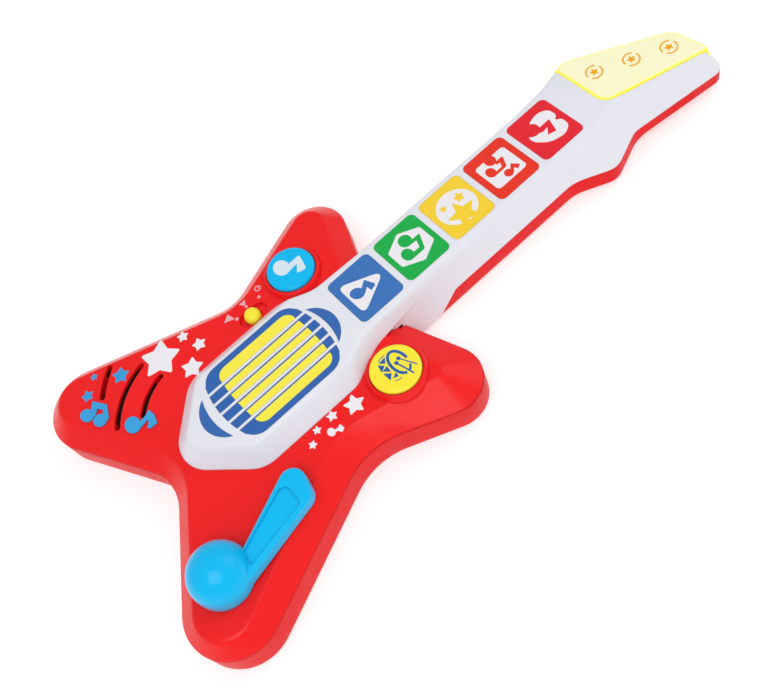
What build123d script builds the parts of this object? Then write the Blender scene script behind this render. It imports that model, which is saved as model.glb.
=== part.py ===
from build123d import *
from math import acos, cos, hypot, radians, sin, tan
import os

# Toy electric guitar lying on its back.
# X runs across the body, Y along the neck towards the head, Z up out of the face.
# The origin lies on the back face, on the neck's centre line, at the body's waist.
# All sizes are in millimetres.

# ---- heights above the back face ----
FLOOR = 2.4  # thickness of the back
RIM_Z = 21.0  # seam between the rear and the front shell, at the foot of the sloping rim
PLATEAU_Z = 31.5  # flat red face
TOP_Z = 42.0  # white plate, fret pads and head
NECK_SEAM_Z = 14.8  # seam between the white cover and the red rear shell along the neck
HEAD_BACK_Z = 7.0  # the head is thinner than the neck
LENS_EDGE_Z = 34.0  # lower edge of the translucent head cover
BOARD_Z = 22.0  # underside of the main circuit board
BOARD_T = 1.6

# ---- walls and gaps ----
WALL = 2.4
SEAM = 0.15  # gap between parts that meet at a visible seam
EDGE_R = 3.5  # rounding of the white plate's top edges
NECK_BACK_R = 4.5  # rounding of the neck's back edges
# rounding of the neck's top edges: depth below the top face and inset of each step
NECK_ROUND = [(3.2, 0.0), (1.6, 0.5), (0.7, 1.2), (0.2, 2.1), (0.0, 3.1)]

# ---- body outline: virtual corners (x, y, radius), clockwise from the neck ----
# the outlines below are written in the same way
BODY = [
    (6.1, 66.0, 8),
    (105.0, 100.1, 21),
    (64.0, 7.5, 45),
    (141.9, -173.6, 27.8),
    (0.4, -80.4, 28),
    (-127.2, -149.9, 26.5),
    (-65.2, 9.6, 28),
    (-102.5, 112.6, 20.4),
]
# the flat red face inside the sloping rim, corner for corner
FACE = [
    (8.0, 53.0, 8),
    (68.5, 68.2, 5),
    (50.6, 2.5, 42),
    (121.0, -147.0, 16.4),
    (-1.4, -68.0, 38),
    (-108.1, -126.2, 15.3),
    (-54.9, 10.0, 38),
    (-84.5, 92.2, 9.5),
]
HEEL_LINE = [(-60.0, 77.9), (60.0, 67.1)]  # the white heel ends just inside the body's wall
HEEL_TOP = 24.5

# ---- white centre plate, at the height of the red face ----
PLATE = [
    (22.4, 88.0, 0),
    (27.2, 50.0, 30),
    (38.0, 27.0, 14),
    (38.0, -40.1, 20),
    (0.0, -78.1, 20),
    (-38.0, -40.1, 20),
    (-38.0, 27.0, 14),
    (-27.2, 50.0, 30),
    (-22.4, 88.0, 0),
]
# the same plate at the top face, inside its sloping flanks
PLATE_TOP = [
    (21.4, 88.0, 0),
    (22.0, 46.0, 24),
    (28.5, 33.0, 8),
    (28.5, -36.2, 10.5),
    (0.0, -64.7, 10.5),
    (-28.5, -36.2, 10.5),
    (-28.5, 33.0, 8),
    (-22.0, 46.0, 24),
    (-21.4, 88.0, 0),
]

# ---- neck and head outline, clockwise from the body: at the seam and below, then at the top face ----
NECK_LOW = [
    (-24.4, 52.0, 0),
    (-24.4, 205.0, 25),
    (-36.5, 229.0, 12),
    (-32.9, 251.6, 12),
    (10.0, 320.6, 10),
    (35.8, 325.6, 8),
    (26.3, 254.0, 14),
    (36.5, 229.0, 12),
    (24.4, 205.0, 25),
    (24.4, 52.0, 0),
]
NECK_TOP = [
    (-21.9, 52.0, 0),
    (-21.7, 205.0, 25),
    (-22.8, 229.0, 10),
    (-28.3, 251.6, 12),
    (6.6, 307.6, 13),
    (37.0, 310.4, 6),
    (18.5, 254.0, 10),
    (22.6, 229.0, 20),
    (21.7, 205.0, 25),
    (21.9, 52.0, 0),
]
# translucent cover on the head, as a prism that runs past the head's left edge
LENS = [(-60.0, 243.4, 0), (-60.0, 300.0, 0), (0.0, 340.0, 0), (38.0, 322.0, 0), (13.8, 243.4, 9)]

# ---- fret pads ----
PAD_NAMES = ["blue", "green", "yellow", "orange", "crimson"]
PAD_WIDTH = 35.0
PAD_LENGTH = 31.0
PAD_PITCH = 35.2
PAD_CORNER = 3.5
PAD_T = 0.9
MIDDLE_PAD_Y = 138.3
FIT = 0.1  # clearance of an inlay in its pocket

# ---- pickup artwork ----
PICKUP_Y = -1.6
PICKUP_SIZE = (53.0, 73.4)
PICKUP_CORNER = 10.5
PICKUP_BOW = 2.8
PICKUP_INNER = (45.0, 56.2)
PICKUP_INNER_Y = 0.8
STRING_X = [-14.5, -7.25, 0.0, 7.25, 14.5]
STRING_WIDTH = 1.9
CRESCENT_MIDDLE_Y = -2.8
CRESCENT_Y = 38.4  # from the middle to the tips
CRESCENT_SIZE = (30.4, 8.9)
CRESCENT_HOLLOW = 2.9

# ---- controls ----
BUTTON_X = 48.0
BUTTON_Y = 47.25
BUTTON_R = 14.7
BUTTON_HOLE_R = 15.15
BUTTON_TOP_Z = 37.0
COLLAR_FOOT_R = 18.2  # raised ring of the red face round each button
COLLAR_R = 16.6
COLLAR_HEIGHT = 3.6
KNOB_X = -43.6
KNOB_Y = 12.6
KNOB_R = 5.0
KNOB_HEIGHT = 4.2
KNOB_TRAVEL = 3.0
KNOB_WELL_SHIFT = 0.8  # the well reaches a little farther on the neck's side
WHAMMY_X = 68.8
WHAMMY_Y = -92.2
WHAMMY_R = 17.7
WHAMMY_DOME_Z = 36.5  # centre of the round top
WHAMMY_SHAFT_R = 5.0
SHAFT_CLEARANCE = 0.08

# ---- speaker and its curved slots ----
SPEAKER_X = -60.5
SPEAKER_Y = -71.5
SPEAKER_R = 20.0
SLOT_WIDTH = 3.6
SLOTS = [  # centre, radius, first and last angle
    ((-15.2, -41.6), 40.0, 192.3, 229.0),
    ((-15.2, -41.6), 55.5, 193.5, 235.5),
    ((-29.1, -32.2), 65.5, 214.4, 231.3),
]

# ---- batteries ----
CELL_R = 7.1
CELL_LENGTH = 49.0
CELL_PITCH = 15.2
CELL_COUNT = 3
BATTERY_Y = -10.0
DOOR = (-31.0, 31.0, -35.0, 15.0)
DOOR_TABS = (-17.0, 17.0)
DOOR_LUG_TOP = 4.2

# ---- fasteners ----
BODY_SCREWS = [(69, 65), (-68, 71), (55, -14), (-55, -16), (87, -112), (-83, -107), (0, -66)]
NECK_SCREWS = [(0, 99), (0, 190), (0, 231)]
HEAD_SCREW = (28, 299)
POST_R = 4.6
SCREW_R = 1.5
SCREW_HEAD_R = 2.9
SCREW_WELL_Z = 8.0
SCREW_TIP_Z = 24.5
SCREW_BORE_Z = 25.5
HEAD_SCREW_LIFT = 2.6  # the screw below the thinner head sits higher
DOOR_SCREW = (0.0, 20.4)
DOOR_LUG = 4.6  # half the width of the lug round the door's screw
DOOR_GAP = 0.3
DOOR_T = 2.2
DOOR_SCREW_TIP_Z = 8.0
DOOR_THREAD_R = 1.9  # bore that the captive screw's thread runs in


# ---------------------------------------------------------------- helpers
def unit(x, y):
    """Direction of a plane vector."""
    size = hypot(x, y)
    return x / size, y / size


def inset_corners(corners, insets):
    """Corners of a clockwise outline after each side moves inwards by its own inset."""
    moved = []
    count = len(corners)
    for i, (x, y, radius) in enumerate(corners):
        before = corners[i - 1]
        after = corners[(i + 1) % count]
        ax, ay = unit(x - before[0], y - before[1])
        bx, by = unit(after[0] - x, after[1] - y)
        px, py = x + ay * insets[i - 1], y - ax * insets[i - 1]
        qx, qy = x + by * insets[i], y - bx * insets[i]
        turn = ax * by - ay * bx
        along = ((qx - px) * by - (qy - py) * bx) / turn
        mean = (insets[i - 1] + insets[i]) / 2
        new_radius = radius + (mean if turn > 0 else -mean)
        if radius:
            new_radius = max(new_radius, 3.0)
        else:
            new_radius = 0
        moved.append((px + ax * along, py + ay * along, new_radius))
    return moved


def corner_arc(before, corner, after):
    """Start, middle and end of the arc that rounds one corner."""
    x, y, radius = corner
    ax, ay = unit(before[0] - x, before[1] - y)
    bx, by = unit(after[0] - x, after[1] - y)
    half = acos(max(-1.0, min(1.0, ax * bx + ay * by))) / 2
    reach = radius / tan(half)
    mx, my = unit(ax + bx, ay + by)
    depth = radius / sin(half) - radius
    start = (x + ax * reach, y + ay * reach)
    end = (x + bx * reach, y + by * reach)
    return start, (x + mx * depth, y + my * depth), end


def outline(corners, z=0.0):
    """Flat face with rounded corners at height z."""
    count = len(corners)
    arcs = []
    for i, corner in enumerate(corners):
        if corner[2]:
            arcs.append(corner_arc(corners[i - 1], corner, corners[(i + 1) % count]))
        else:
            arcs.append((corner[:2], None, corner[:2]))
    edges = []
    for i, (start, middle, end) in enumerate(arcs):
        if middle:
            edges.append(ThreePointArc(start, middle, end))
        edges.append(Line(end, arcs[(i + 1) % count][0]))
    return Pos(0, 0, z) * make_face(edges)


def prism(face, z0, z1):
    """Straight-sided solid over a flat face drawn at height 0."""
    return extrude(Pos(0, 0, z0) * face, amount=z1 - z0, dir=(0, 0, 1))


def sloped(low, z0, high, z1):
    """Solid with straight rulings from one outline up to another with as many corners."""
    return loft([outline(low, z0), outline(high, z1)], ruled=True)


def cylinder(x, y, radius, z0, z1):
    """Upright round bar."""
    return Pos(x, y, (z0 + z1) / 2) * Cylinder(radius, z1 - z0)


def tube(x, y, radius, bore, z0, z1):
    """Upright round tube."""
    return cylinder(x, y, radius, z0, z1) - cylinder(x, y, bore, z0 - 1, z1 + 1)


def cone(x, y, r0, r1, z0, z1):
    """Upright cone from radius r0 at z0 to r1 at z1."""
    return Pos(x, y, (z0 + z1) / 2) * Cone(r0, r1, z1 - z0)


def block(x0, x1, y0, y1, z0, z1):
    """Box between two corners."""
    return Pos((x0 + x1) / 2, (y0 + y1) / 2, (z0 + z1) / 2) * Box(x1 - x0, y1 - y0, z1 - z0)


def side_prism(points, x0, x1):
    """Solid with a profile given as (y, z) points, drawn across X."""
    face = make_face(Polyline(*[(0, y, z) for y, z in points], close=True))
    return Pos(x0, 0, 0) * extrude(face, amount=x1 - x0, dir=(1, 0, 0))


def soften(shape, edges, radii):
    """Rounds edges with the first radius that the geometry accepts."""
    for radius in radii:
        try:
            rounded = fillet(edges, radius)
            if rounded.is_valid:
                return rounded
        except Exception:
            continue
    print("an edge stays sharp")
    return shape


def edges_at(shape, z):
    """Edges that lie flat at height z."""
    found = []
    for edge in shape.edges():
        box = edge.bounding_box()
        if abs(box.min.Z - z) < 0.01 and abs(box.max.Z - z) < 0.01:
            found.append(edge)
    return found


def coil(x, y, radius, wire, z0, z1, turns):
    """Upright coil spring between two heights."""
    height = z1 - z0 - 2 * wire
    path = Helix(pitch=height / turns, height=height, radius=radius)
    start = path @ 0
    ring = Plane(origin=start, z_dir=path % 0) * Circle(wire)
    return Pos(x, y, z0 + wire) * sweep(ring, path=path)


def group(shapes):
    """Several separate solids in one part."""
    return Compound(children=[solid for shape in shapes for solid in shape.solids()])


# ---------------------------------------------------------------- envelopes
def body_block(inset, z0, z1):
    """Straight walls of the body."""
    return prism(outline(inset_corners(BODY, [inset] * len(BODY))), z0, z1)


def body_dome(inset, drop):
    """Sloping rim and flat face of the body."""
    low = inset_corners(BODY, [inset] * len(BODY))
    high = inset_corners(FACE, [inset] * len(FACE))
    return sloped(low, RIM_Z, high, PLATEAU_Z - drop)


def neck_sides(inset, mouth):
    """Insets of the neck outline: the open end towards the body moves out by mouth."""
    return [inset] * (len(NECK_LOW) - 1) + [-mouth]


def neck_lower(inset, mouth, z0):
    """Neck and head below the seam height."""
    low = inset_corners(NECK_LOW, neck_sides(inset, mouth))
    return prism(outline(low), z0, NECK_SEAM_Z)


def neck_upper(inset, mouth, drop):
    """Neck and head above the seam height, with sloping flanks."""
    low = inset_corners(NECK_LOW, neck_sides(inset, mouth))
    high = inset_corners(NECK_TOP, neck_sides(inset, mouth))
    return sloped(low, NECK_SEAM_Z, high, TOP_Z - drop)


def neck_rounded():
    """Upper neck and head with rounded top edges, in narrow steps."""
    rise = TOP_Z - NECK_SEAM_Z
    levels = [(NECK_SEAM_Z, outline(NECK_LOW, NECK_SEAM_Z))]
    for depth, inset in NECK_ROUND:
        share = 1 - depth / rise
        between = []
        for low, high in zip(NECK_LOW, NECK_TOP):
            between.append(tuple(a + (b - a) * share for a, b in zip(low, high)))
        face = outline(inset_corners(between, neck_sides(inset, 0)), TOP_Z - depth)
        levels.append((TOP_Z - depth, face))
    solid = None
    for (_, below), (_, above) in zip(levels, levels[1:]):
        step = loft([below, above], ruled=True)
        solid = step if solid is None else solid + step
    return solid


def plate_block(inset, drop, foot):
    """Raised centre plate with sloping flanks, over a straight foot."""
    low = inset_corners(PLATE, [inset] * len(PLATE))
    high = inset_corners(PLATE_TOP, [inset] * len(PLATE_TOP))
    raised = sloped(low, PLATEAU_Z, high, TOP_Z - drop)
    if foot:
        raised = raised + prism(outline(low), PLATEAU_Z - foot, PLATEAU_Z)
    return raised


def above_neck_seam(gap):
    """Everything on the white cover's side of the neck seam."""
    profile = [
        (50, FLOOR + gap),
        (94, FLOOR + gap),
        (109, NECK_SEAM_Z + gap),
        (340, NECK_SEAM_Z + gap),
        (340, 60),
        (50, 60),
    ]
    return side_prism(profile, -60, 60)


def head_relief(lift):
    """Wedge below the head, which is thinner than the neck."""
    profile = [(236, lift), (262, HEAD_BACK_Z + lift), (340, HEAD_BACK_Z + lift), (340, -20), (236, -20)]
    return side_prism(profile, -60, 60)


def pad_y(index):
    """Centre of a fret pad along the neck."""
    return MIDDLE_PAD_Y + (index - 2) * PAD_PITCH


def pad_shape(grow):
    """Outline of a fret pad about its own centre."""
    return RectangleRounded(PAD_WIDTH + 2 * grow, PAD_LENGTH + 2 * grow, PAD_CORNER + grow)


def pickup_shape(size, corner, bow):
    """Rounded rectangle whose top and bottom edges bow outwards."""
    half_w, half_h = size[0] / 2, size[1] / 2
    frame = RectangleRounded(2 * half_w, 2 * half_h - 2 * bow, corner)
    arc_r = (half_w**2 + (2 * bow) ** 2) / (4 * bow)
    bowed = Pos(0, half_h - arc_r) * Circle(arc_r) & Pos(0, arc_r - half_h) * Circle(arc_r)
    cap = bowed & Rectangle(2 * half_w - 1.2 * corner, 2 * half_h)
    return frame + cap


def string_gaps(width):
    """The strips between the pickup pieces where the white strings run."""
    strips = Sketch()
    for x in STRING_X:
        strips += Pos(x, PICKUP_Y) * Rectangle(width, 2 * PICKUP_SIZE[1])
    return strips


def pickup_blue():
    """Blue frame of the pickup, before the strings divide it."""
    outer = Pos(0, PICKUP_Y) * pickup_shape(PICKUP_SIZE, PICKUP_CORNER, PICKUP_BOW)
    return outer - pickup_yellow(FIT)


def pickup_yellow(grow):
    """Yellow panel of the pickup, before the strings divide it."""
    size = (PICKUP_INNER[0] + 2 * grow, PICKUP_INNER[1] + 2 * grow)
    return Pos(0, PICKUP_INNER_Y) * pickup_shape(size, 6.2 + grow, 1.0)


def crescent(side):
    """Half-moon beyond one end of the pickup."""
    width, height = CRESCENT_SIZE
    outer_r = (width**2 / 4 + height**2) / (2 * height)
    inner_r = (width**2 / 4 + CRESCENT_HOLLOW**2) / (2 * CRESCENT_HOLLOW)
    outer = Pos(0, height - outer_r) * Circle(outer_r)
    inner = Pos(0, CRESCENT_HOLLOW - inner_r) * Circle(inner_r)
    moon = outer - inner
    centre = CRESCENT_MIDDLE_Y + side * CRESCENT_Y
    turned = Rot(0, 0, 0 if side > 0 else 180) * moon
    return Pos(0, centre) * turned


# ---------------------------------------------------------------- shells
def screw_posts():
    """Hollow posts of the rear shell that carry the shell screws."""
    posts = [cylinder(x, y, POST_R, 0.5, RIM_Z - SEAM) for x, y in BODY_SCREWS]
    posts += [cylinder(x, y, POST_R, 0.5, NECK_SEAM_Z - SEAM) for x, y in NECK_SCREWS]
    x, y = HEAD_SCREW
    posts.append(cylinder(x, y, POST_R, HEAD_BACK_Z + 0.5, NECK_SEAM_Z - SEAM))
    return posts


def screw_holes():
    """Wells for the heads and holes for the shanks, from the back."""
    holes = []
    wells = [(x, y, SCREW_WELL_Z) for x, y in BODY_SCREWS + NECK_SCREWS]
    wells.append((*HEAD_SCREW, SCREW_WELL_Z + HEAD_SCREW_LIFT))
    for x, y, well in wells:
        holes.append(cylinder(x, y, SCREW_HEAD_R + 0.3, -1, well))
        holes.append(cylinder(x, y, SCREW_R + 0.15, -1, RIM_Z + 1))
    return holes


def neck_back():
    """Red lower part of the neck, rounded along its back edges."""
    back = neck_lower(0, 0, 0)
    sides = [edge for edge in edges_at(back, 0) if edge.center().Y > 60]
    return soften(back, sides, [NECK_BACK_R, 3.0, 2.0])


def rear_shell():
    """Red back with the walls of the body and the lower half of the neck and head."""
    body = body_block(0, 0, RIM_Z - SEAM)
    neck = neck_back() - above_neck_seam(-SEAM) - head_relief(0)
    shell = soften(body, edges_at(body, 0), [3.0, 2.0]) + neck
    body_room = body_block(WALL, FLOOR, RIM_Z + 5)
    neck_room = neck_lower(WALL, 8, FLOOR) - head_relief(FLOOR)
    shell = shell - body_room - neck_room
    heel = (neck_lower(-SEAM, 0, 0) + neck_upper(-SEAM, 0, 0)) & above_neck_seam(-SEAM)
    shell = shell - heel
    shell = shell + screw_posts() + head_board_posts() + contact_post()
    for x, y in BOARD_POSTS:
        shell += cylinder(x, y, 2.6, FLOOR - 0.5, BOARD_Z)
    shell = shell - screw_holes()
    x0, x1, y0, y1 = DOOR
    shell -= block(x0, x1, y0, y1, -1, FLOOR + 1)
    x, y = DOOR_SCREW
    return shell - block(x - DOOR_LUG, x + DOOR_LUG, y1 - 1, y + DOOR_LUG, -1, FLOOR + 1)


def front_shell():
    """Red face of the body with its wide sloping rim."""
    shell = body_dome(0, 0)
    shell = soften(shell, edges_at(shell, PLATEAU_Z), [EDGE_R, 2.0, 1.0])
    room = body_dome(WALL, WALL)
    solid = shell
    shell = shell - room
    ring = cylinder(SPEAKER_X, SPEAKER_Y, SPEAKER_R + 1.6, 25, PLATEAU_Z - 1)
    ring -= cylinder(SPEAKER_X, SPEAKER_Y, SPEAKER_R - 2, 20, PLATEAU_Z + 1)
    shell += ring & solid
    bearing = cylinder(WHAMMY_X, WHAMMY_Y, 9.0, BOARD_Z, PLATEAU_Z - 1)
    shell += bearing
    shell += block(KNOB_X - 8, KNOB_X + 8, KNOB_Y - 10.5, KNOB_Y + 10.5, 27.6, PLATEAU_Z - 1)
    for x, y in BODY_SCREWS:
        shell += cylinder(x, y, POST_R - 0.8, RIM_Z, PLATEAU_Z - 1) & solid
    window = prism(outline(inset_corners(PLATE, [5.0] * len(PLATE))), RIM_Z, PLATEAU_Z + 1)
    shell -= window
    neck = neck_lower(-SEAM, 0, 0) + neck_upper(-SEAM, 0, 0)
    shell -= neck
    for side in (-1, 1):
        shell += button_collar(side * BUTTON_X)
        shell -= cylinder(side * BUTTON_X, BUTTON_Y, BUTTON_HOLE_R, RIM_Z, BUTTON_TOP_Z)
    shell -= cylinder(WHAMMY_X, WHAMMY_Y, WHAMMY_SHAFT_R + SHAFT_CLEARANCE, 10, 40)
    well = Pos(KNOB_X, KNOB_Y + KNOB_WELL_SHIFT) * SlotCenterToCenter(
        2 * (KNOB_TRAVEL + KNOB_WELL_SHIFT) + 0.6, 2 * KNOB_R + 0.8, rotation=90
    )
    shell -= prism(well, PLATEAU_Z - 2.0, PLATEAU_Z + 1)
    shell -= block(KNOB_X - 2, KNOB_X + 2, KNOB_Y - 5.2, KNOB_Y + 5.2, 20, PLATEAU_Z)
    for centre, radius, start, end in SLOTS:
        shell -= prism(slot_face(centre, radius, start, end), 22, PLATEAU_Z + 1)
    for x, y in BODY_SCREWS:
        shell -= cylinder(x, y, SCREW_R + 0.05, 15, SCREW_BORE_Z)
    return shell


def button_collar(x):
    """Raised ring round a button, from inside the wall to above the face."""
    top = PLATEAU_Z + COLLAR_HEIGHT
    ring = cylinder(x, BUTTON_Y, COLLAR_FOOT_R, PLATEAU_Z - 2.2, PLATEAU_Z)
    ring += cone(x, BUTTON_Y, COLLAR_FOOT_R, COLLAR_R, PLATEAU_Z, top)
    return soften(ring, edges_at(ring, top), [1.0, 0.6])


def slot_face(centre, radius, start, end):
    """One curved sound slot."""
    arc = CenterArc(centre, radius, start, end - start)
    return SlotArc(arc, SLOT_WIDTH)


def neck_cover():
    """White plate, neck and head frame in one piece."""
    neck = (neck_lower(0, 0, 0) + neck_rounded()) & above_neck_seam(0)
    inside = make_face(Polyline((-60, 0), *HEEL_LINE, (60, 0), close=True))
    neck -= prism(inside, -1, HEEL_TOP)
    plate = plate_block(0, 0, 0)
    plate = soften(plate, edges_at(plate, TOP_Z), [EDGE_R, 2.5, 1.8])
    outer = neck + plate
    neck_room = neck_lower(WALL, 20, -1) + neck_upper(WALL, 20, WALL)
    plate_room = plate_block(WALL, WALL, 3)
    shell = outer - neck_room - plate_room
    for index in range(len(PAD_NAMES)):
        pocket = Pos(0, pad_y(index)) * pad_shape(FIT)
        shell -= prism(pocket, TOP_Z - PAD_T - FIT, TOP_Z + 1)
    art = pickup_blue() + pickup_yellow(FIT)
    recess = offset(art, amount=FIT) - string_gaps(STRING_WIDTH - 2 * FIT)
    shell -= prism(recess, TOP_Z - PAD_T - FIT, TOP_Z + 1)
    for side in (-1, 1):
        shell -= prism(offset(crescent(side), amount=FIT), TOP_Z - PAD_T - FIT, TOP_Z + 1)
    shell -= prism(outline(LENS), LENS_EDGE_Z, TOP_Z + 5)
    for x, y in NECK_SCREWS:
        post = cylinder(x, y, POST_R - 0.8, NECK_SEAM_Z, TOP_Z - WALL + 0.3)
        shell += post - cylinder(x, y, SCREW_R + 0.05, 10, 30)
    x, y = HEAD_SCREW
    shell += cylinder(x, y, POST_R - 0.8, NECK_SEAM_Z, 27) - cylinder(x, y, SCREW_R + 0.05, 10, 25)
    return shell


def head_lens():
    """Translucent cap over the head's left side, with a rounded rim."""
    area = outline(inset_corners(LENS, [SEAM] * len(LENS)))
    solid = neck_upper(0, 0, 0) & prism(area, LENS_EDGE_Z + SEAM, TOP_Z + 1)
    solid = soften(solid, edges_at(solid, TOP_Z), [2.6, 2.0, 1.2])
    room = neck_upper(2.0, 0, 2.0) & prism(outline(inset_corners(LENS, [2.2] * len(LENS))), 20, TOP_Z)
    return solid - room


# ---------------------------------------------------------------- flush inlays
def fret_pad(index):
    """One coloured touch pad, flush with the neck."""
    face = Pos(0, pad_y(index)) * pad_shape(0)
    return prism(face, TOP_Z - PAD_T, TOP_Z)


def pickup_frame():
    """Blue pieces of the pickup between the strings."""
    return group([prism(pickup_blue() - string_gaps(STRING_WIDTH), TOP_Z - PAD_T, TOP_Z)])


def pickup_panels():
    """Yellow pieces of the pickup between the strings."""
    return group([prism(pickup_yellow(0) - string_gaps(STRING_WIDTH), TOP_Z - PAD_T, TOP_Z)])


def pickup_crescents():
    """Blue half-moons beyond both ends of the pickup."""
    return group([prism(crescent(side), TOP_Z - PAD_T, TOP_Z) for side in (-1, 1)])


# ---------------------------------------------------------------- raised trim
NOTE_HEIGHT = 0.8  # above the red face
SINGLE_NOTE = [
    (-39.0, -77.0),
    (-39.6, -71.0),
    (-41.2, -67.2),
    (-36.2, -66.6),
    (-30.6, -68.2),
    (-30.8, -73.1),
    (-32.3, -74.3),
    (-35.0, -71.5),
    (-36.6, -71.3),
    (-35.2, -79.5),
]
BEAMED_NOTE = [
    (-72.2, -88.9),
    (-63.5, -83.6),
    (-55.4, -87.4),
    (-54.1, -91.5),
    (-60.8, -92.0),
    (-59.7, -89.1),
    (-62.4, -87.2),
    (-65.8, -89.3),
    (-62.7, -92.8),
    (-64.6, -95.4),
]


def note_head(x, y, long, short, angle):
    """Oval head of a note."""
    return Pos(x, y) * Rot(0, 0, angle) * Ellipse(long, short)


def raised_notes():
    """Two blue musical notes that stand a little above the red face by the sound slots."""
    single = make_face(Polyline(*SINGLE_NOTE, close=True)) + note_head(-40.6, -79.5, 5.6, 4.7, 0)
    beamed = make_face(Polyline(*BEAMED_NOTE, close=True))
    beamed += note_head(-66.8, -96.2, 4.7, 3.9, 20)
    beamed += note_head(-58.2, -92.2, 4.3, 3.9, 20)
    return group([prism(note, PLATEAU_Z, PLATEAU_Z + NOTE_HEIGHT) for note in (single, beamed)])


# ---------------------------------------------------------------- round buttons
def button_cap(x):
    """Round cap with a stem over the rubber dome and two retaining tabs."""
    cap = cylinder(x, BUTTON_Y, BUTTON_R, 27.0, BUTTON_TOP_Z)
    cap = soften(cap, edges_at(cap, BUTTON_TOP_Z), [1.4, 1.0])
    cap -= cylinder(x, BUTTON_Y, BUTTON_R - 1.8, 20, BUTTON_TOP_Z - 2.0)
    cap += cylinder(x, BUTTON_Y, 3.2, 26.8, BUTTON_TOP_Z - 1.5)
    tab = block(BUTTON_R - 1.2, BUTTON_R + 1.9, -3.5, 3.5, 27.0, 28.7)
    for angle in (270, 180 if x > 0 else 0):
        cap += Pos(x, BUTTON_Y) * Rot(0, 0, angle) * tab
    return cap


def rubber_dome(x):
    """Silicone dome that returns the cap and closes the contact."""
    top = BOARD_Z + BOARD_T
    dome = cylinder(x, BUTTON_Y, 6.5, top, top + 0.8)
    dome += cone(x, BUTTON_Y, 5.4, 3.2, top + 0.8, 26.8)
    return dome - cone(x, BUTTON_Y, 4.6, 2.4, top, 26.0)


# ---------------------------------------------------------------- slide switch
def volume_knob():
    """Round knob that slides in a short well, with its stem."""
    top = PLATEAU_Z + KNOB_HEIGHT
    knob = cylinder(KNOB_X, KNOB_Y, KNOB_R, PLATEAU_Z - 1.8, top)
    knob = soften(knob, edges_at(knob, top), [3.8, 2.4])
    knob += block(KNOB_X - 1.7, KNOB_X + 1.7, KNOB_Y - 1.9, KNOB_Y + 1.9, 26.6, PLATEAU_Z)
    return knob


def switch_lever():
    """Metal lever of the slide switch, held in the knob's stem."""
    return block(KNOB_X - 1.2, KNOB_X + 1.2, KNOB_Y - 1.4, KNOB_Y + 1.4, 24.4, 26.6)


def switch_body():
    """Metal case of the slide switch with a slot for its lever."""
    top = BOARD_Z + BOARD_T
    case = block(KNOB_X - 3.6, KNOB_X + 3.6, KNOB_Y - 8, KNOB_Y + 8, top, top + 2.6)
    return case - block(KNOB_X - 1.5, KNOB_X + 1.5, KNOB_Y - 4.8, KNOB_Y + 4.8, top + 0.5, 40)


# ---------------------------------------------------------------- whammy bar
ARM = [
    (86.0, -92.2, 0),
    (72.4, -29.4, 8),
    (45.7, -23.0, 7.5),
    (69.5, -78.0, 3),
    (60.0, -92.2, 0),
]
ARM_RECESS = [(79.0, -76.5, 0), (71.8, -37.0, 4), (56.0, -37.5, 4), (71.0, -76.5, 0)]
ARM_RECESS_DEPTH = 1.0
ARM_Z = (33.0, 41.5)


def whammy_bar():
    """Sky-blue lever: a round hub with a flat arm that widens to a slanted tip."""
    arm = prism(outline(ARM), *ARM_Z)
    arm = soften(arm, edges_at(arm, ARM_Z[1]), [2.4, 1.8, 1.0])
    arm -= prism(outline(ARM_RECESS), ARM_Z[1] - ARM_RECESS_DEPTH, ARM_Z[1] + 1)
    hub = cylinder(WHAMMY_X, WHAMMY_Y, WHAMMY_R, PLATEAU_Z + 0.4, WHAMMY_DOME_Z)
    ball = Pos(WHAMMY_X, WHAMMY_Y, WHAMMY_DOME_Z) * Sphere(WHAMMY_R)
    hub += ball & cylinder(WHAMMY_X, WHAMMY_Y, WHAMMY_R + 1, WHAMMY_DOME_Z, WHAMMY_DOME_Z + 30)
    shaft = cylinder(WHAMMY_X, WHAMMY_Y, WHAMMY_SHAFT_R, 19.0, 36.0)
    core = cylinder(WHAMMY_X, WHAMMY_Y, SCREW_R, 10, 27)
    return hub + arm + shaft - core


def whammy_lever():
    """Cam on the shaft's lower end that works the contact switch."""
    x, y = WHAMMY_X, WHAMMY_Y
    disc = cylinder(x, y, 8.0, 16.6, 19.0) + block(x - 15, x, y - 2, y + 2, 16.6, 19.0)
    return disc - cylinder(x, y, SCREW_R + 0.05, 10, 27)


def whammy_screw():
    """Screw and washer that hold the shaft in its bearing."""
    x, y = WHAMMY_X, WHAMMY_Y
    return cylinder(x, y, 4.5, 15.6, 16.6) + cylinder(x, y, SCREW_HEAD_R, 13.8, 15.6) + cylinder(x, y, SCREW_R, 15, 25.5)


def whammy_spring():
    """Torsion spring around the bearing that brings the bar back."""
    return coil(WHAMMY_X, WHAMMY_Y, 10.4, 0.5, 22.3, 26.8, 4)


def whammy_contact():
    """Small board with two spring leaves beside the cam."""
    x, y = WHAMMY_X - 16.5, WHAMMY_Y
    board = block(x - 14, x + 2, y + 5, y + 17, 12.0, 13.6)
    base = block(x - 6, x, y + 7, y + 15, 13.6, 17.0)
    leaves = [block(x - 3 + k, x - 2.7 + k, y + 3 - k, y + 7, 14.5, 17.0) for k in (0, 1.5)]
    return group([board + base + leaves[0] + leaves[1]])


def contact_post():
    """Pillar of the rear shell below the contact board."""
    x, y = WHAMMY_X - 22.5, WHAMMY_Y + 11
    return cylinder(x, y, 3.0, FLOOR - 0.5, 12.0)


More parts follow.
